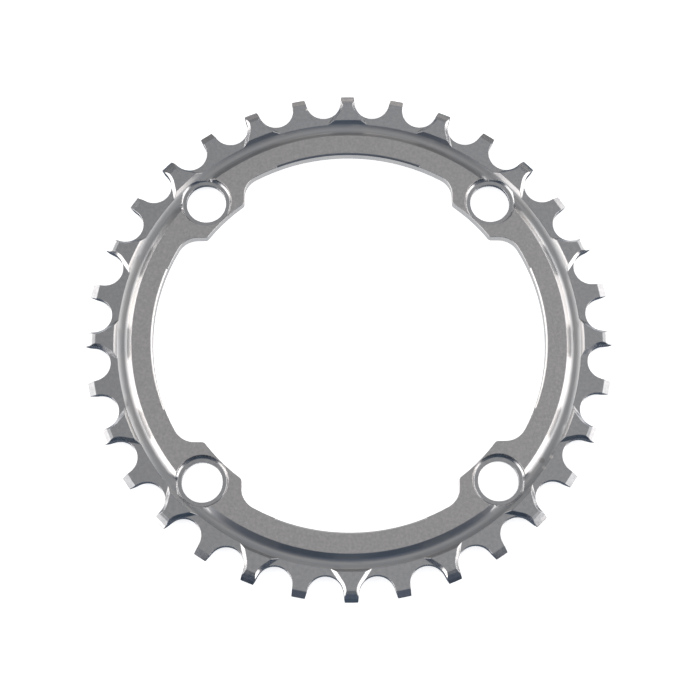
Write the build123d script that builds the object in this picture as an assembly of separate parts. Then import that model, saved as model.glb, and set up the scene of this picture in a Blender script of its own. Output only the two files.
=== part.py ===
"""Narrow-wide bicycle chainring: one flat ring of machined aluminium.

Millimetres. The ring's axis is Z, the chain side with the raised land faces +Z and the
lowest faces, the backs of the wide teeth, lie on z = 0. A wide tooth points along +X.
"""
import os
from math import acos, asin, cos, degrees, radians, sin, sqrt, tan

from build123d import *

# Chain and teeth
chain_pitch = 12.7              # half-inch roller chain
tooth_count = 32                # wide and narrow teeth take turns
tip_rise = 2.015                # tooth tips above the pitch circle
root_depth = 4.235              # bottom of the gaps below it
seat_radius = 4.5               # round seat between two teeth
flank_taper = 5.0               # degrees, outer flanks lean towards the tooth axis

# Heights above the backs of the wide teeth
wide_height = 3.6
narrow_height = 2.75
land_height = 3.65
groove_depth = 0.5              # deepest line of the groove below the narrow teeth
tip_land = 0.3                  # height of the flat end of a tooth

# Radial widths of the section, from the gaps between the teeth inwards
rim_width = 1.8                 # up to the groove, at the narrow teeth
groove_width = 2.25
groove_hollow = 3.1             # radius that the groove's tool leaves
groove_wall = 47.0              # degrees, the groove's side where it rises to a wide tooth
land_slope = 1.4                # slope from the groove up to the raised land
land_width = 5.35

# Tip bevels, their widths along the radius
narrow_bevel = 1.68
wide_bevel = 0.84               # first facet of a wide tooth
wide_bevel_drop = 0.27
wide_facet = 1.13               # second
wide_facet_drop = 0.65
wide_nose = 0.7                 # last

# Raised flats of the wide teeth
flat_clearance = 0.6            # gap edge to the top edge of the flat
flat_flare = 33.0               # degrees, spread of the flat towards the groove
flat_wall = 45.0                # degrees, slope of its side walls

# Bolt tabs
bolt_count = 4
bolt_inset = 3.1                # bolt centres inside the outer edge of the land
bolt_hole = 10.2
counterbore_ledge = 1.5         # width of the seat round the hole
counterbore_depth = 1.65
counterbore_chamfer = 0.5
tab_wall = 0.2                  # metal left inside the counterbore
tab_half_width = 9.87           # bolt centre to a side of its tab
tab_fillet = 5.5
tab_corner = 1.0

# Bevel on the inner edge between the tabs
inner_bevel = 0.45
inner_bevel_half_angle = 21.8

# Derived angles
full_turn, half_turn = 360.0, 180.0
half_step = half_turn / tooth_count             # from a tooth to the gap beside it
tooth_step = 2 * half_step
wide_step = 2 * tooth_step
tab_step = full_turn / bolt_count
first_tab = tab_step / 2
tab_angles = [first_tab + tab_step * i for i in range(bolt_count)]

# Derived radii, from the teeth inwards
pitch_radius = chain_pitch / 2 / sin(radians(half_step))
tip_radius = pitch_radius + tip_rise
wide_nose_radius = tip_radius - wide_nose
wide_facet_radius = wide_nose_radius - wide_facet
wide_bevel_radius = wide_facet_radius - wide_bevel
narrow_bevel_radius = tip_radius - narrow_bevel
root_radius = pitch_radius - root_depth
groove_edge_radius = root_radius - rim_width
groove_foot_radius = groove_edge_radius - groove_width
land_radius = groove_foot_radius - land_slope
inner_radius = land_radius - land_width
bolt_radius = land_radius - bolt_inset          # 52, the usual 104 mm bolt circle
counterbore_radius = bolt_hole / 2 + counterbore_ledge
tab_radius = bolt_radius - counterbore_radius - tab_wall
tab_side = bolt_radius * cos(radians(first_tab)) - tab_half_width   # from the ring's centre lines

# Derived heights
middle = wide_height / 2                        # plane that the teeth are centred on
back_height = wide_height - narrow_height       # flat back of the ring and of the narrow teeth
groove_height = narrow_height - groove_depth
counterbore_floor = land_height - counterbore_depth
tip_top = middle + tip_land / 2
over = 1.0                                      # reach of a cutting shape past the metal
top = max(land_height, wide_height) + over


def at(radius, angle):
    return (radius * cos(radians(angle)), radius * sin(radians(angle)))


def turned(point, angle):
    c, s = cos(radians(angle)), sin(radians(angle))
    return (point[0] * c - point[1] * s, point[0] * s + point[1] * c)


def mirrored(points):
    """The same section points on the other side of the teeth's middle plane, in reverse."""
    return [(r, 2 * middle - z) for r, z in reversed(points)]


def revolved(points, bends=None, start=0.0, sweep=full_turn):
    """Turn a section of (radius, height) points round the axis. An edge that starts at a key of
    bends is an arc through the point that stands there."""
    edges = []
    for here, there in zip(points, points[1:] + points[:1]):
        stops = [here, (bends or {}).get(here), there]
        stops = [(r, 0, z) for r, z in filter(None, stops)]
        edges.append(ThreePointArc(*stops) if len(stops) == 3 else Line(*stops))
    return Rot(0, 0, start) * revolve(make_face(Wire(edges)), Axis.Z, sweep)


def flank(centre, radius, lean):
    """Point where a straight flank that leans by an angle touches a round of this centre."""
    return (centre[0] - radius * sin(radians(lean)), centre[1] - radius * cos(radians(lean)))


# The groove is a round hollow between a narrow tooth and the foot of the land's slope
hollow_top = groove_height + groove_hollow      # height of its centre line
hollow_radius = groove_edge_radius - sqrt(groove_hollow ** 2 - (hollow_top - narrow_height) ** 2)
groove_deepest = (hollow_radius, groove_height)
foot_height = hollow_top - sqrt(groove_hollow ** 2 - (hollow_radius - groove_foot_radius) ** 2)
land_foot = (groove_foot_radius, foot_height)
narrow_edge = (groove_edge_radius, narrow_height)

# Ring section with narrow teeth all round
narrow_tip = [(narrow_bevel_radius, narrow_height), (tip_radius, tip_top)]
narrow_body = revolved([(tab_radius - over, back_height), (tab_radius - over, land_height),
                        (land_radius, land_height), land_foot, narrow_edge]
                       + narrow_tip + mirrored(narrow_tip), {land_foot: groove_deepest})

# The rim as it would be with a wide tooth everywhere
wall_width = (wide_height - narrow_height) / tan(radians(groove_wall))
wide_front = [narrow_edge, (groove_edge_radius + wall_width, wide_height),
              (wide_bevel_radius, wide_height),
              (wide_facet_radius, wide_height - wide_bevel_drop),
              (wide_nose_radius, wide_height - wide_bevel_drop - wide_facet_drop),
              (tip_radius, tip_top)]
wide_rim = revolved(wide_front + mirrored(wide_front))


# Blocks that keep the rim only at the wide teeth
def flat_outline(grow, height):
    """Outline of a wide tooth's flat, moved out by grow, as a wire at a height."""
    roller, radius = at(pitch_radius, half_step), seat_radius + flat_clearance - grow
    near, far = flank(roller, radius, flat_flare), flank(roller, radius, flank_taper)
    bend = flank(roller, radius, (flat_flare + flank_taper) / 2)
    start_x, end_x = groove_foot_radius, tip_radius + over
    start = (start_x, near[1] + (near[0] - start_x) * tan(radians(flat_flare)))
    end = (end_x, far[1] - (end_x - far[0]) * tan(radians(flank_taper)))

    def up(p):
        return (p[0], p[1], height)

    def down(p):
        return (p[0], -p[1], height)

    return Wire([Line(up(start), up(near)), ThreePointArc(up(near), up(bend), up(far)),
                 Line(up(far), up(end)), Line(up(end), down(end)), Line(down(end), down(far)),
                 ThreePointArc(down(far), down(bend), down(near)),
                 Line(down(near), down(start)), Line(down(start), up(start))])


spread = (wide_height - middle) / tan(radians(flat_wall))
upper_block = Solid.make_loft([flat_outline(spread, middle), flat_outline(0, wide_height)], True)
lower_block = Solid.make_loft([flat_outline(0, 0), flat_outline(spread, middle)], True)
wide_tooth = wide_rim & (upper_block + lower_block)
wide_teeth = [Rot(0, 0, wide_step * i) * wide_tooth for i in range(round(full_turn / wide_step))]


# Outline of the whole ring seen from the front
foot = flank(at(root_radius + seat_radius, half_step), seat_radius, flank_taper)
# The flank is a line at a fixed distance from the axis, which gives its end on the tip circle
flank_offset = foot[1] * cos(radians(flank_taper)) + foot[0] * sin(radians(flank_taper))
tip_angle = degrees(asin(flank_offset / tip_radius)) - flank_taper
tip = at(tip_radius, tip_angle)
outer_edges = []
for i in range(tooth_count):
    a = tooth_step * i
    low_foot, low_tip = turned((foot[0], -foot[1]), a), turned((tip[0], -tip[1]), a)
    outer_edges += [
        Line(low_foot, low_tip),
        ThreePointArc(low_tip, at(tip_radius, a), turned(tip, a)),
        Line(turned(tip, a), turned(foot, a)),
        ThreePointArc(turned(foot, a), at(root_radius, a + half_step),
                      turned((foot[0], -foot[1]), a + tooth_step)),
    ]

# One tab's edge, written for the tab that points along the first diagonal
fillet_reach = inner_radius - tab_fillet
fillet_centre_x = tab_side - tab_fillet
fillet_angle = degrees(acos(fillet_centre_x / fillet_reach))
fillet_centre = at(fillet_reach, fillet_angle)
corner_reach = tab_radius + tab_corner
corner_angle = degrees(acos((tab_side + tab_corner) / corner_reach))
corner_centre = at(corner_reach, corner_angle)
tab_half = corner_angle - first_tab


def arc(centre, radius, start, sweep):
    """Three points of an arc: its start, middle and end."""
    return [(centre[0] + at(radius, start + sweep * f)[0],
             centre[1] + at(radius, start + sweep * f)[1]) for f in (0, 0.5, 1)]


half_tab = [
    arc((0, 0), tab_radius, first_tab, tab_half),
    arc(corner_centre, tab_corner, half_turn + corner_angle, -corner_angle),
    [(tab_side, corner_centre[1]), (tab_side, fillet_centre[1])],
    arc(fillet_centre, tab_fillet, 0, fillet_angle),
    arc((0, 0), inner_radius, fillet_angle, tab_step - fillet_angle),
]
other_half = [[(y, x) for x, y in reversed(points)] for points in reversed(half_tab)]
inner_edges = []
for angle in tab_angles:
    for points in other_half + half_tab:
        moved = [turned(p, angle - first_tab) for p in points]
        inner_edges.append(Line(*moved) if len(moved) == 2 else ThreePointArc(*moved))

plan = make_face(Wire(outer_edges)) - make_face(Wire(inner_edges))
blank = Pos(0, 0, -over) * extrude(plan, top + over)

# Bolt holes with counterbores, chamfered in the corner
seat_cut = revolved([(0, -over), (bolt_hole / 2, -over), (bolt_hole / 2, counterbore_floor),
                     (counterbore_radius - counterbore_chamfer, counterbore_floor),
                     (counterbore_radius, counterbore_floor + counterbore_chamfer),
                     (counterbore_radius, top), (0, top)])
seat_cuts = [Rot(0, 0, angle) * Pos(bolt_radius, 0, 0) * seat_cut for angle in tab_angles]

# Bevels on the inner edge
bevel_cut = [revolved([(inner_radius - over, land_height - inner_bevel - over),
                       (inner_radius - over, land_height + over),
                       (inner_radius + inner_bevel + over, land_height + over)],
                      start=tab_step * i - inner_bevel_half_angle,
                      sweep=2 * inner_bevel_half_angle)
             for i in range(bolt_count)]

chainring = narrow_body
for tooth in wide_teeth:
    chainring = chainring + tooth
chainring = chainring & blank
for tool in seat_cuts + bevel_cut:
    chainring = chainring - tool

os.makedirs("parts", exist_ok=True)
export_step(chainring, "parts/chainring.step")
print("volume", round(chainring.volume), "faces", len(chainring.faces()),
      "solids", len(chainring.solids()), chainring.bounding_box())
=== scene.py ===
# %% [markdown]
# A bicycle chainring, from a bare CAD solid to machined metal
#
# A chainring is the toothed ring at the cranks that pulls a bicycle's chain. This one is a
# narrow-wide ring: thin and thick teeth take turns, because the gaps between a chain's plates do so
# too, and that alone keeps the chain on. It is milled from one plate of aluminium, so it is one
# piece. The shape comes from the CAD model. What this script adds is what a machine shop leaves on
# it: edges that are broken a little, a blasted front, a turned groove, milled teeth.

# %% Load the CAD model
from math import cos, pi, radians

import bmesh
import bpy
from mathutils import Matrix, Vector


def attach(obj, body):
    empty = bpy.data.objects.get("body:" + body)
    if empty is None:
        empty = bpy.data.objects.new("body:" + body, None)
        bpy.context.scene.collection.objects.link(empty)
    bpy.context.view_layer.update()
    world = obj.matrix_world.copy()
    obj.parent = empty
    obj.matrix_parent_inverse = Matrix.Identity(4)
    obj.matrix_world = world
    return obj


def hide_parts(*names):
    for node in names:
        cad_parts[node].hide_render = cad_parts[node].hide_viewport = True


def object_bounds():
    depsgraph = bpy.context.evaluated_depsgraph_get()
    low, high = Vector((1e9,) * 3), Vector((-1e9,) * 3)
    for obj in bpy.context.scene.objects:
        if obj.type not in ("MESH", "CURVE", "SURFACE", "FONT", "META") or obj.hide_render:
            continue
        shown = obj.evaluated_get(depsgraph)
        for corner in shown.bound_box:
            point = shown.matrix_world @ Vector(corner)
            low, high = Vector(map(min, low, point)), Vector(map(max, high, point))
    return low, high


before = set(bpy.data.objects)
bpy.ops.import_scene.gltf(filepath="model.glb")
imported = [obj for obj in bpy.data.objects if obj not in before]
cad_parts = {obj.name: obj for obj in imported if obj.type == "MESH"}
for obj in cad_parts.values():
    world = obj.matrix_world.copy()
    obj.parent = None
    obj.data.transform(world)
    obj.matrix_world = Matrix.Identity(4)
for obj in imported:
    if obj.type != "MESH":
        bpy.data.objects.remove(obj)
cad_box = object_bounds()
mm = 0.001
cad_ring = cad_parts["chainring"]
print("CAD box, mm:", [[round(c / mm, 2) for c in corner] for corner in cad_box])

# %% [markdown]
# The camera comes first, because every later choice is judged through it. The photograph was taken
# with a long lens from almost straight above, so the ring is nearly a circle, but the small tilt
# shows the inner wall on the far side only. A lens of about 90 mm and half a metre of distance give
# that. The three angles were fitted to the ring's own circles.

# %% Camera
photo_size = 700            # the photograph is square, in pixels
focal_pixels = 1800
sensor = 36.0               # its width in mm
camera_place = Vector((-7.262, -129.986, 439.618)) * mm
camera_turn = [radians(a) for a in (16.2131, -0.8387, -0.4452)]
nearest_seen = 10 * mm

camera_data = bpy.data.cameras.new("camera")
camera_data.sensor_width = sensor
camera_data.lens = focal_pixels * sensor / photo_size
camera_data.clip_start = nearest_seen
camera = bpy.data.objects.new("camera", camera_data)
camera.location = camera_place
camera.rotation_euler = camera_turn
bpy.context.scene.collection.objects.link(camera)
bpy.context.scene.camera = camera
bpy.context.scene.view_settings.view_transform = "Standard"
print("lens, mm:", round(camera_data.lens, 2))

# %% [markdown]
# Colours are easiest to read as the hex values of a paint chart, but the renderer adds up light,
# which needs linear numbers. One function does the change.

# %% Colour helper
def linear(hex_colour):
    """The linear red, green, blue and alpha of an sRGB hex colour."""
    parts = [int(hex_colour[i:i + 2], 16) / 255 for i in (1, 3, 5)]
    return [c / 12.92 if c <= 0.04045 else ((c + 0.055) / 1.055) ** 2.4 for c in parts] + [1.0]


print("mid grey in linear light:", [round(c, 3) for c in linear("#808080")])

# %% [markdown]
# Shader trees are built from nodes. Most lines of such a script only add a node, set it and wire it,
# so one small function does that for every kind of node.

# %% Node helper
def add_node(tree, kind, inputs=None, **settings):
    """Add a node, set its properties, and give its inputs values or other nodes' outputs."""
    node = tree.nodes.new(kind)
    for name, value in settings.items():
        setattr(node, name, value)
    for name, value in (inputs or {}).items():
        if isinstance(value, bpy.types.NodeSocket):
            tree.links.new(value, node.inputs[name])
        else:
            node.inputs[name].default_value = value
    return node


print("node helper:", add_node.__doc__)

# %% [markdown]
# A tone that changes with a direction is a colour ramp over a number. A part of a direction runs
# from -1 to 1, but a ramp from 0 to 1, so one function maps the first range to the second.

# %% Ramp helper
def ramp_place(value):
    """Place on a ramp, from 0 to 1, of a value from -1 to 1."""
    return (value + 1) / 2


def fill_ramp(node, stops):
    """Give a colour ramp these stops, each a value from -1 to 1 and a hex colour."""
    elements = node.color_ramp.elements
    elements.remove(elements[1])
    for i, (value, colour) in enumerate(stops):
        stop = elements[0] if i == 0 else elements.new(ramp_place(value))
        stop.position = ramp_place(value)
        stop.color = linear(colour)


def tones_along(tree, value, stops):
    """A colour ramp over a value that runs from -1 to 1."""
    half = add_node(tree, "ShaderNodeMapRange", {"Value": value, "From Min": -1.0, "From Max": 1.0})
    ramp = add_node(tree, "ShaderNodeValToRGB", {"Fac": half.outputs["Result"]})
    fill_ramp(ramp, stops)
    return ramp.outputs["Color"]


print("a ramp starts, has its middle and ends at:", [ramp_place(value) for value in (-1, 0, 1)])

# %% [markdown]
# Polished metal has no look of its own. It shows the room, so the room is designed first. Small
# metal parts are photographed in a light tent. A world shader that reads only the direction of a ray
# can hold a whole tent, with no lamp to make noise. The roof is a calm grey, which the flat faces
# show. It is darker and bluer on the camera's side, where the tent is open, and a little brighter
# along a strip from front to back. One ramp runs each way, and the two are multiplied.

# %% Roof of the light tent
roof_tones = [              # front to back part of a direction, and the tone there
    (-1.00, "#5A6C80"), (-0.97, "#42505E"), (-0.75, "#677286"), (-0.44, "#7B8088"),
    (-0.10, "#B0B1B3"), (0.15, "#B8B8B9"), (0.40, "#B5B5B6"), (0.62, "#999FA4"),
    (0.78, "#A2A3A6"), (0.87, "#ADACAC"), (0.96, "#DAD5D2"), (1.00, "#E8E2DE"),
]
roof_light = 1.2            # light where both lists say full white
strip_tones = [             # sideways part of a direction, and the share of those tones there
    (-0.45, "#C4C4C4"), (-0.14, "#D2D2D2"), (-0.08, "#EAEAEA"), (0.03, "#FAFAFA"),
    (0.11, "#F2F2F2"), (0.15, "#ECECEC"), (0.45, "#C8C8C8"),
]

world = bpy.data.worlds.new("light_tent")
world.use_nodes = True
bpy.context.scene.world = world
tree = world.node_tree
tree.nodes.clear()
sight = add_node(tree, "ShaderNodeTexCoord").outputs["Generated"]
direction = add_node(tree, "ShaderNodeSeparateXYZ", {"Vector": sight})
roof = add_node(tree, "ShaderNodeVectorMath", {
    0: tones_along(tree, direction.outputs["Y"], roof_tones),
    1: tones_along(tree, direction.outputs["X"], strip_tones)}, operation="MULTIPLY")
roof_lit = add_node(tree, "ShaderNodeVectorMath", {
    0: roof.outputs["Vector"], "Scale": roof_light}, operation="SCALE")
print("roof tones from front to back:", len(roof_tones), "and across:", len(strip_tones))

# %% [markdown]
# Two white side walls give every slope that leans sideways its white edge. They are brightest low
# down, by the table, and fade towards the roof. Each wall ends where the open front and the back
# begin, and the ring shows these ends as sharp changes of tone along its slopes. A ramp over the
# compass direction draws them. The tent stood turned by three degrees, so that direction is measured
# along a turned axis. The camera itself sees plain white behind the table.

# %% Side walls and background
wall_glow = 8.0             # light where the tones say full white
wall_tones = [              # sine of the angle from straight up, and the share of the glow there
    (0.42, "#000000"), (0.67, "#565656"), (0.84, "#747372"), (0.93, "#7A7877"),
    (0.97, "#989694"), (1.00, "#BEB8B3"),
]
tent_axis = (-0.05, 1, 0)   # from the tent's front to its back
wall_ends = [               # part of a compass direction along it, and whether a wall is there
    (-0.62, "#000000"), (-0.54, "#FFFFFF"), (0.69, "#FFFFFF"), (0.75, "#000000"),
]

flat = add_node(tree, "ShaderNodeVectorMath", {0: sight, 1: (1, 1, 0)}, operation="MULTIPLY")
compass = add_node(tree, "ShaderNodeVectorMath", {0: flat.outputs["Vector"]}, operation="NORMALIZE")
along = add_node(tree, "ShaderNodeVectorMath", {0: compass.outputs["Vector"], 1: tent_axis},
                 operation="DOT_PRODUCT")
lean = add_node(tree, "ShaderNodeVectorMath", {0: flat.outputs["Vector"]}, operation="LENGTH")
wall = add_node(tree, "ShaderNodeVectorMath", {
    0: tones_along(tree, lean.outputs["Value"], wall_tones),
    1: tones_along(tree, along.outputs["Value"], wall_ends)}, operation="MULTIPLY")
wall_lit = add_node(tree, "ShaderNodeVectorMath", {
    0: wall.outputs["Vector"], "Scale": wall_glow}, operation="SCALE")
tent = add_node(tree, "ShaderNodeVectorMath", {
    0: roof_lit.outputs["Vector"], 1: wall_lit.outputs["Vector"]}, operation="ADD")
seen = add_node(tree, "ShaderNodeMix", {
    0: add_node(tree, "ShaderNodeLightPath").outputs["Is Camera Ray"],
    6: tent.outputs["Vector"], 7: [1.0, 1.0, 1.0, 1.0]}, data_type="RGBA")
background = add_node(tree, "ShaderNodeBackground", {"Color": seen.outputs[2]})
add_node(tree, "ShaderNodeOutputWorld", {"Surface": background.outputs[0]})
print("side wall tones:", len(wall_tones), "brightest:", wall_glow)

# %% [markdown] The ring lies on a plain white table, a large square sheet a hair below the ring.

# %% Table
table_half = 3.0
table_gap = 0.02 * mm       # keeps the two surfaces apart
table_mesh = bpy.data.meshes.new("table")
sheet = bmesh.new()
bmesh.ops.create_grid(sheet, x_segments=1, y_segments=1, size=table_half)
bmesh.ops.translate(sheet, verts=sheet.verts, vec=(0, 0, cad_box[0].z - table_gap))
sheet.to_mesh(table_mesh)
sheet.free()
table = bpy.data.objects.new("table", table_mesh)
bpy.context.scene.collection.objects.link(table)
print("table, metres across:", 2 * table_half)

# %% [markdown]
# The metal mirrors the table in tones of its own, which are painted: the table glows with them for
# glossy rays only. Walls and steep slopes look down on it close by. Inside the ring it is grey, and
# under the teeth it is dark, a painted shade. Beyond the teeth it shows painted reflections of the
# tent's walls, white to the left and right, and so it needs tones by compass direction as well.
# Distance from the axis decides which tones hold.

# %% Painted tones that the metal mirrors
inner_tone = "#A9A9A9"      # inside the ring
painted_shade_tone = "#454C56"       # painted shade under the teeth
far_tones = [               # beyond them, by compass direction: painted reflections of the walls, painted shade between
    (-1.00, "#454C56"), (-0.70, "#454C56"), (-0.58, "#FFFFFF"), (0.56, "#FFFFFF"),
    (0.63, "#545C66"), (0.80, "#6C7074"), (1.00, "#A2A09F"),
]
outer_tones = [             # and still farther out
    (-1.00, "#454C56"), (-0.70, "#454C56"), (-0.58, "#FFFFFF"), (0.56, "#FFFFFF"),
    (0.63, "#454C56"), (1.00, "#454C56"),
]
inner_end, near_start = 50 * mm, 56 * mm
near_end, far_start = 67 * mm, 70 * mm
far_end, outer_start = 72 * mm, 74 * mm


def tone_step(tree, reach, end, start, nearer, farther):
    """One tone up to a distance from the axis, and another from a larger distance on."""
    share = add_node(tree, "ShaderNodeMapRange", {"Value": reach, "From Min": end, "From Max": start})
    return add_node(tree, "ShaderNodeMix", {
        0: share.outputs["Result"], 6: nearer, 7: farther}, data_type="RGBA").outputs[2]


paper = bpy.data.materials.new("white_paper_painted_mirror")
paper.use_nodes = True
tree = paper.node_tree
tree.nodes.clear()
place = add_node(tree, "ShaderNodeTexCoord").outputs["Object"]
reach = add_node(tree, "ShaderNodeVectorMath", {0: place}, operation="LENGTH").outputs["Value"]
outward = add_node(tree, "ShaderNodeVectorMath", {0: place}, operation="NORMALIZE")
along = add_node(tree, "ShaderNodeVectorMath", {0: outward.outputs["Vector"], 1: tent_axis},
                 operation="DOT_PRODUCT").outputs["Value"]
near = tone_step(tree, reach, inner_end, near_start, linear(inner_tone), linear(painted_shade_tone))
far = tone_step(tree, reach, far_end, outer_start, tones_along(tree, along, far_tones),
                tones_along(tree, along, outer_tones))
mirrored = tone_step(tree, reach, near_end, far_start, near, far)
print("the mirrored tones change, mm from the axis:",
      [round(r / mm) for r in (inner_end, near_start, near_end, far_start, far_end, outer_start)])

# %% [markdown]
# The table is matt white paper. A white that is only lit would come out grey, so the paper also
# glows a little for the camera. Its lit part still darkens under the ring, and so the shadow stays.
# Only glossy rays, the ones that make reflections, see the mirrored tones, a painted reflection.

# %% White paper, with a painted reflection
camera_glow = 0.75          # the paper's own glow as the camera sees it
painted_mirror_glow = 2.2           # the brightest of the painted tones that the metal sees
rays = add_node(tree, "ShaderNodeLightPath")
seen_glow = add_node(tree, "ShaderNodeMath", {0: rays.outputs["Is Camera Ray"], 1: camera_glow},
                     operation="MULTIPLY")
lit = add_node(tree, "ShaderNodeBsdfDiffuse", {"Color": linear("#F2F2F2")})
glow = add_node(tree, "ShaderNodeEmission", {
    "Color": [1.0, 1.0, 1.0, 1.0], "Strength": seen_glow.outputs[0]})
seen_table = add_node(tree, "ShaderNodeAddShader", {0: lit.outputs[0], 1: glow.outputs[0]})
# glossy rays see the painted shade and painted reflections as a glow of the table
painted_mirror_table = add_node(tree, "ShaderNodeEmission", {"Color": mirrored, "Strength": painted_mirror_glow})
both = add_node(tree, "ShaderNodeMixShader", {
    0: rays.outputs["Is Glossy Ray"], 1: seen_table.outputs[0], 2: painted_mirror_table.outputs[0]})
add_node(tree, "ShaderNodeOutputMaterial", {"Surface": both.outputs[0]})
table_mesh.materials.append(paper)
print("nodes of the paper:", len(tree.nodes))

# %% [markdown]
# The CAD model has ideal, knife-sharp edges, and those never catch light. Real machined edges are
# broken by a file or a tumbler, a tenth of a millimetre or so, and that thin facet is what draws the
# bright lines on a metal part. A finer copy of the ring can have them. The CAD mesh comes as loose
# patches, one for each CAD face, so a patch's border is exactly a CAD edge. The borders are marked
# first, and then the patches are welded together.

# %% Weld the CAD patches and mark their edges
weld = 0.002 * mm
ring_bm = bmesh.new()
ring_bm.from_mesh(cad_ring.data)
for edge in ring_bm.edges:
    edge.seam = edge.is_boundary
bmesh.ops.remove_doubles(ring_bm, verts=ring_bm.verts, dist=weld)
bmesh.ops.dissolve_degenerate(ring_bm, edges=ring_bm.edges, dist=weld)
print("welded corners:", len(ring_bm.verts), "open edges:", sum(e.is_boundary for e in ring_bm.edges))

# %% [markdown]
# The CAD mesh cuts every flat face into thin triangles, and a bevel that starts from them comes out
# ragged. So the triangles that lie in one plane are joined. The marked borders stay.

# %% Join the triangles of each flat face
flat_within = radians(0.2)
bmesh.ops.dissolve_limit(ring_bm, angle_limit=flat_within, verts=ring_bm.verts,
                         edges=ring_bm.edges, use_dissolve_boundaries=False, delimit={"SEAM"})
print("faces:", len(ring_bm.faces))

# %% [markdown]
# Each region of the ring was left by another tool, so each gets a finish of its own. A face tells
# which by its height, its distance from the axis and from the nearest bolt hole, and the way that it
# leans. The faces are sorted before the bevels, which give their new facets a neighbour's finish.

# %% Sort the faces by finish
BLASTED, TURNED, MILLED, PROFILED = range(4)
land_height = cad_box[1].z
same_height = 0.01 * mm
groove_top = 2.74 * mm      # just below the faces of the narrow teeth
wall_lean, level_lean = 0.1, 0.99       # upward part of a normal: less is a wall, more is level
bolt_radius = 52 * mm
bolt_centre = bolt_radius * cos(radians(45))            # along X and along Y
bore_reach = 6.7 * mm       # from a bolt hole's axis
inner_reach, groove_reach, turned_reach = 49.5 * mm, 55 * mm, 59.4 * mm     # from the ring's axis


def from_bolt(place):
    """Distance from the nearest bolt hole's axis."""
    return Vector((abs(place.x) - bolt_centre, abs(place.y) - bolt_centre)).length


def finish_of(face):
    """Which machining step left this face."""
    centre = face.calc_center_median()
    reach, up = centre.xy.length, face.normal.z
    bored = from_bolt(centre) < bore_reach
    if abs(up) < wall_lean:
        return PROFILED
    if up > level_lean and centre.z > land_height - same_height:
        return BLASTED
    if bored or up < 0 or not inner_reach < reach < turned_reach:
        return MILLED
    if up < level_lean or (reach > groove_reach and centre.z < groove_top):
        return TURNED
    return MILLED


for face in ring_bm.faces:
    face.material_index = finish_of(face)
counts = [sum(f.material_index == k for f in ring_bm.faces) for k in range(4)]
print("faces blasted, turned, milled, profiled:", counts)

# %% [markdown]
# The slope up to the raised land starts from the groove in a small round, because the turning tool
# has a round nose. In the CAD model the two meet in a line. A bevel of six segments rounds it. Where
# it runs into a bolt hole, some of its edges get next to no length, and these are dissolved again.

# %% Round the foot of the land's slope
foot_near, foot_far = 56.4 * mm, 56.6 * mm      # from the axis
foot_round = 0.55 * mm
foot_segments = 6
shortest_kept = 0.02 * mm


def at_foot(edge):
    """Whether this is an edge where the slope meets the groove."""
    return all(foot_near < v.co.xy.length < foot_far and v.co.z < groove_top for v in edge.verts)


feet = [e for e in ring_bm.edges if e.seam and e.is_manifold and at_foot(e)
        and all(f.material_index == TURNED for f in e.link_faces)]
rounded = bmesh.ops.bevel(ring_bm, geom=feet, offset=foot_round, offset_type="OFFSET",
                          segments=foot_segments, profile=0.5, affect="EDGES", clamp_overlap=False,
                          loop_slide=True, material=-1)
bmesh.ops.dissolve_degenerate(ring_bm, edges=ring_bm.edges, dist=shortest_kept)
curved = {f for f in rounded["faces"] if f.is_valid}
print("edges at the foot:", len(feet), "faces in the rounding:", len(curved))

# %% [markdown]
# Now the marked edges that really bend are broken. At this size one flat facet is enough. The edges
# of the rounded foot are left out, because a second bevel would tear its thin faces.

# %% Break the edges
edge_break = 0.07 * mm
real_bend = radians(12)
bent = [e for e in ring_bm.edges if e.seam and e.is_manifold and e.calc_face_angle() > real_bend
        and not any(f in curved for f in e.link_faces)]
shortest = min(e.calc_length() for e in bent)
print("edges to break:", len(bent), "shortest, mm:", round(shortest / mm, 4))
broken = bmesh.ops.bevel(ring_bm, geom=bent, offset=edge_break, offset_type="OFFSET", segments=1,
                         profile=0.5, affect="EDGES", clamp_overlap=False, loop_slide=True,
                         material=-1)
facets = set(broken["faces"])
print("corners after the bevel:", len(ring_bm.verts), "faces:", len(ring_bm.faces))

# %% [markdown]
# Smooth shading hides the polygons of the round surfaces, but it would also melt a facet into its
# neighbours. A real facet is a plane of its own and flashes as one. So all faces are smooth except
# the facets, and every edge of a facet is sharp.

# %% Keep the facets crisp
for face in ring_bm.faces:
    face.smooth = face not in facets
for edge in ring_bm.edges:
    edge.smooth = not any(f in facets for f in edge.link_faces)
print("crisp facets:", len(facets), "sharp edges:", sum(not e.smooth for e in ring_bm.edges))

# %% [markdown]
# The bmesh was only the workbench. Its result becomes a mesh of its own, in an object that stays at
# the origin, so that the patterns of the finishes stay in place too.

# %% The finished ring's mesh
ring_mesh = bpy.data.meshes.new("machined_ring")
ring_bm.to_mesh(ring_mesh)
ring_bm.free()
ring = bpy.data.objects.new("machined_ring", ring_mesh)
bpy.context.scene.collection.objects.link(ring)
print("faces of the ring:", len(ring_mesh.polygons))

# %% [markdown]
# One tooth has a nick in the edge of its flank, where something hard has hit it. A squashed ball
# cuts it. The boolean modifier is only used for the cut, and its result is kept as a plain mesh.

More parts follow.
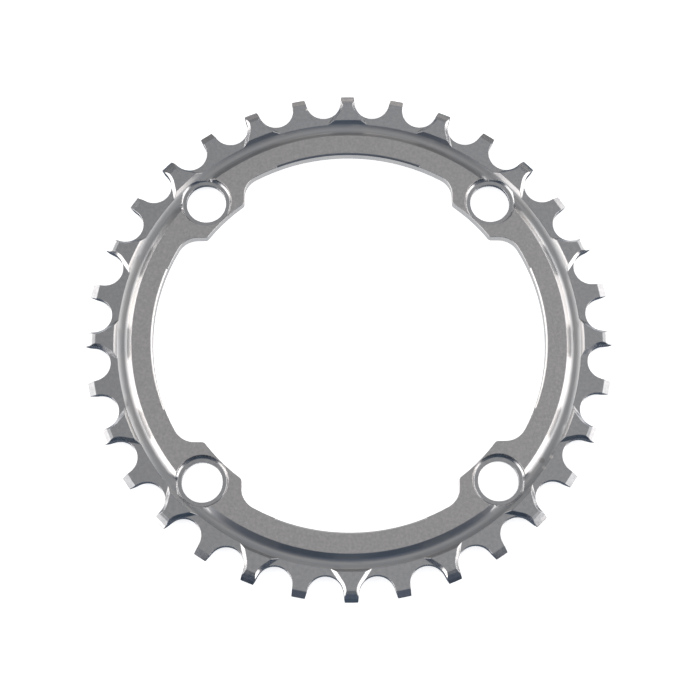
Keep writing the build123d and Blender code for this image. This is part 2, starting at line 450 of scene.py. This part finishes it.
# %% Nick in one tooth
tooth_step = 360 / 32
nick_tooth = radians(9 * tooth_step)            # counted from the tooth on the right, along +X
nick_place = Vector((63.7, -2.1, 2.9)) * mm     # along the tooth, beside it and up
nick_half = Vector((0.6, 0.8, 0.5)) * mm
ball = bmesh.new()
bmesh.ops.create_icosphere(ball, subdivisions=1, radius=1.0)
bmesh.ops.transform(ball, verts=ball.verts, matrix=(
    Matrix.Rotation(nick_tooth, 4, "Z") @ Matrix.Translation(nick_place)
    @ Matrix.Diagonal((*nick_half, 1))))
ball_mesh = bpy.data.meshes.new("nick")
ball.to_mesh(ball_mesh)
ball.free()
nick = bpy.data.objects.new("nick", ball_mesh)
bpy.context.scene.collection.objects.link(nick)
cut = ring.modifiers.new("nick", "BOOLEAN")
cut.operation, cut.solver, cut.object = "DIFFERENCE", "EXACT", nick
bpy.context.view_layer.update()
ring_mesh = bpy.data.meshes.new_from_object(
    ring.evaluated_get(bpy.context.evaluated_depsgraph_get()))
ring.modifiers.clear()
ring.data = ring_mesh
bpy.data.objects.remove(nick)
print("faces with the nick:", len(ring_mesh.polygons), "slots:", len(ring_mesh.materials))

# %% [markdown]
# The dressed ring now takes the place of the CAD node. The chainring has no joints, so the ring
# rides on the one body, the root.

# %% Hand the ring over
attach(ring, "root")
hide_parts("chainring")
print("handed over:", ring.name)

# %% [markdown]
# All finishes are the same metal, aluminium, a light and nearly neutral grey. They differ in how
# they spread a reflection. Two helpers draw what they share: a cloudy pattern with features of a
# given size, and small round spots over a tone, which are real stains and also painted glints.

# %% Pattern and stain helpers
spot_core = 0.6            # share of a spot's radius that has its full colour


def pattern_noise(tree, place, size, stretch=(1, 1, 1), detail=2.0):
    """Cloudy pattern with features of this size in metres."""
    scaled = add_node(tree, "ShaderNodeMapping", {"Vector": place, "Scale": stretch})
    return add_node(tree, "ShaderNodeTexNoise", {
        "Vector": scaled.outputs["Vector"], "Scale": 1 / size, "Detail": detail}).outputs["Fac"]


def spotted(tree, place, tone, spots):
    """A tone with round spots over it, real stains and painted glints: each a place, a radius and a
    hex colour.
    """
    for centre, radius, colour in spots:
        away = add_node(tree, "ShaderNodeVectorMath", {0: place, 1: centre}, operation="DISTANCE")
        inside = add_node(tree, "ShaderNodeMapRange", {
            "Value": away.outputs["Value"], "From Min": radius, "From Max": spot_core * radius})
        tone = add_node(tree, "ShaderNodeMix", {
            0: inside.outputs["Result"], 6: tone, 7: linear(colour)}, data_type="RGBA").outputs[2]
    return tone


print("share of a stain that fades:", 1 - spot_core)

# %% [markdown]
# Every finish is built by one function. A pattern gives the height of the surface, and the same
# pattern makes it rougher where it is low. A second, cloudy pattern lets the tone drift, so that
# large faces don't look computed. On turned and cut metal the drift is some millimetres wide. The
# land and the teeth are mottled finer, in patches below a millimetre. Fine tool rings spread a
# reflection across themselves and keep it sharp along themselves, and an anisotropic metal does
# that without rings that would have to be finer than a pixel.

# %% Finish helper
cloud_low, cloud_high = 0.3, 0.7        # a cloudy pattern hardly leaves this range
across_rings = 0.25                     # turns the spread from along the rings to across them


def finished_metal(name, colours, roughness, height, pattern, drift_size=6 * mm, spots=(),
                   ringed=0.0):
    """A metal whose height and roughness follow one pattern, given as a function of tree and place."""
    material = bpy.data.materials.new(name)
    material.use_nodes = True
    tree = material.node_tree
    tree.nodes.clear()
    place = add_node(tree, "ShaderNodeTexCoord").outputs["Object"]
    drift = add_node(tree, "ShaderNodeMapRange", {
        "Value": pattern_noise(tree, place, drift_size),
        "From Min": cloud_low, "From Max": cloud_high})
    tone = add_node(tree, "ShaderNodeMix", {
        0: drift.outputs["Result"], 6: linear(colours[0]), 7: linear(colours[1])}, data_type="RGBA")
    relief = pattern(tree, place)
    rough = add_node(tree, "ShaderNodeMapRange", {
        "Value": relief, "From Min": cloud_low, "From Max": cloud_high,
        "To Min": roughness[1], "To Max": roughness[0]})
    bump = add_node(tree, "ShaderNodeBump", {"Height": relief, "Distance": height})
    surface = add_node(tree, "ShaderNodeBsdfPrincipled", {
        "Base Color": spotted(tree, place, tone.outputs[2], spots), "Metallic": 1.0,
        "Roughness": rough.outputs["Result"], "Normal": bump.outputs["Normal"],
        "Anisotropic": ringed, "Anisotropic Rotation": across_rings})
    if ringed:
        around = add_node(tree, "ShaderNodeTangent", direction_type="RADIAL", axis="Z")
        tree.links.new(around.outputs["Tangent"], surface.inputs["Tangent"])
    add_node(tree, "ShaderNodeOutputMaterial", {"Surface": surface.outputs[0]})
    return material


print("finish helper:", finished_metal.__doc__)

# %% [markdown]
# The raised land and the tabs are blasted with fine beads after milling. Each bead leaves a dimple,
# which is why this face looks matt and slightly sandy.

# %% Blasted land
grain = 0.35 * mm           # real dimples are nearer 0.1 mm, too fine for a pixel of 0.25 mm


def dimples(tree, place):
    """Height of the blasted face."""
    return pattern_noise(tree, place, grain, detail=3.0)


blasted = finished_metal("bead_blasted_aluminium", ("#CCC9C8", "#BBBABA"), (0.36, 0.46),
                         0.06 * mm, dimples, drift_size=0.7 * mm)
print("finish:", blasted.name, "grain, mm:", round(grain / mm, 2))

# %% [markdown]
# The groove, the slopes beside it and the bevel on the inner edge are turned on a lathe or by
# circular milling. The tool leaves rings about the axis, and light runs round the groove in soft
# bands. Three small marks sit at the lower right of the groove: a darker spot on its floor, and two
# bright spots at its outer edge, which are painted glints.

# %% Turned groove and slopes
ring_pitch = 0.3 * mm       # feed of the tool, drawn coarser than the real 0.1 mm
wave_speed = 20             # radians that the wave texture turns in one unit of length
ring_low, ring_high = 0.35, 0.65        # heights inside the range of the cloudy patterns


def tool_rings(tree, place):
    """Height of the turned face: rings about the axis, a little uneven."""
    rings = add_node(tree, "ShaderNodeTexWave", {
        "Vector": place, "Scale": 2 * pi / wave_speed / ring_pitch, "Distortion": 0.6,
        "Detail": 2.0, "Detail Scale": 0.05}, wave_type="RINGS", rings_direction="Z")
    return add_node(tree, "ShaderNodeMapRange", {
        "Value": rings.outputs["Fac"], "To Min": ring_low, "To Max": ring_high}).outputs["Result"]


# a darker spot on the floor, then two painted glints: bright spots in the metal's colour
groove_marks_and_glints = [
    (Vector((47.7, -31.7, 2.3)) * mm, 0.9 * mm, "#A8A6A6"),
    (Vector((50.0, -30.8, 2.7)) * mm, 0.6 * mm, "#E6E2DF"),
    (Vector((48.0, -33.5, 2.7)) * mm, 0.6 * mm, "#E6E2DF"),
]
turned = finished_metal("turned_aluminium", ("#C2C1C1", "#BBBCBE"), (0.28, 0.34), 0.003 * mm,
                        tool_rings, spots=groove_marks_and_glints, ringed=0.6)
print("finish:", turned.name, "stains:", len(groove_marks_and_glints))

# %% [markdown]
# The teeth are milled, and the whole ring is then deburred in a tumbler. Their faces are smoother
# than the land and carry only a faint, uneven sheen. The groove's spots, with their painted glints,
# reach onto the faces beside it, and one tooth has a faint reddish stain.

# %% Milled teeth
sheen_size = 1.2 * mm


def sheen(tree, place):
    """Height of the milled faces."""
    return pattern_noise(tree, place, sheen_size, detail=2.0)


reddish_stain = (Vector((28.2, -58.6, 3.5)) * mm, 1.6 * mm, "#C2AFAE")
milled = finished_metal("milled_aluminium", ("#C2C2C4", "#B7B8BA"), (0.2, 0.27), 0.012 * mm, sheen,
                        drift_size=0.9 * mm, spots=groove_marks_and_glints + [reddish_stain])
print("finish:", milled.name, "sheen, mm:", round(sheen_size / mm, 2))

# %% [markdown]
# The walls of the tooth gaps, the bolt holes and the inner edge are cut with the side of an end mill.
# Its flutes leave upright streaks, so the pattern is stretched along the axis.

# %% Cut walls
flute_mark = 0.3 * mm
upright = (1, 1, 0.05)


def streaks(tree, place):
    """Height of the cut walls."""
    return pattern_noise(tree, place, flute_mark, stretch=upright)


profiled = finished_metal("profile_milled_aluminium", ("#BEBEC0", "#B4B6BA"), (0.22, 0.3),
                          0.002 * mm, streaks)
for material in (blasted, turned, milled, profiled):
    ring_mesh.materials.append(material)
print("finishes:", [m.name for m in ring_mesh.materials])

# %% [markdown]
